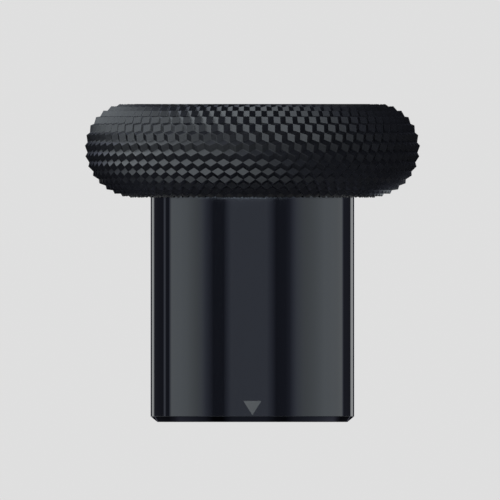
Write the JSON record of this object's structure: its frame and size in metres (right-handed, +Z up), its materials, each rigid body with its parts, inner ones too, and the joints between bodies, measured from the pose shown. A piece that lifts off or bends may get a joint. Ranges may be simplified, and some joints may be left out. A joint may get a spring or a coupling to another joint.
{
  "type": "thumbstick cap",
  "caption": "Swap-on cap for a game controller's thumbstick: a knurled round rim with a concave thumb pad on a polished round stem that has a keyed magnetic socket and an index mark.",
  "frame": {"origin": "centre of the stem's open end, on the surface that the cap stands on", "axes": "+Z up along the stem, from its open end to the thumb pad; the index mark faces -Y"},
  "size_m": [0.0166, 0.0166, 0.0158],
  "materials": {
    "rim_plastic": "satin charcoal",
    "pad_rubber": "soft matte black",
    "stem_metal": "turned, polished and black anodised",
    "core_plastic": "moulded black",
    "magnet_plating": "bright plating",
    "mark_paint": "matte grey paint fill"
  },
  "bodies": {
    "root": {"grip_rim": "rim_plastic", "thumb_pad": "pad_rubber", "stem_sleeve": "stem_metal", "socket_core": "core_plastic", "magnet": "magnet_plating", "index_mark": "mark_paint"}
  },
  "joints": []
}
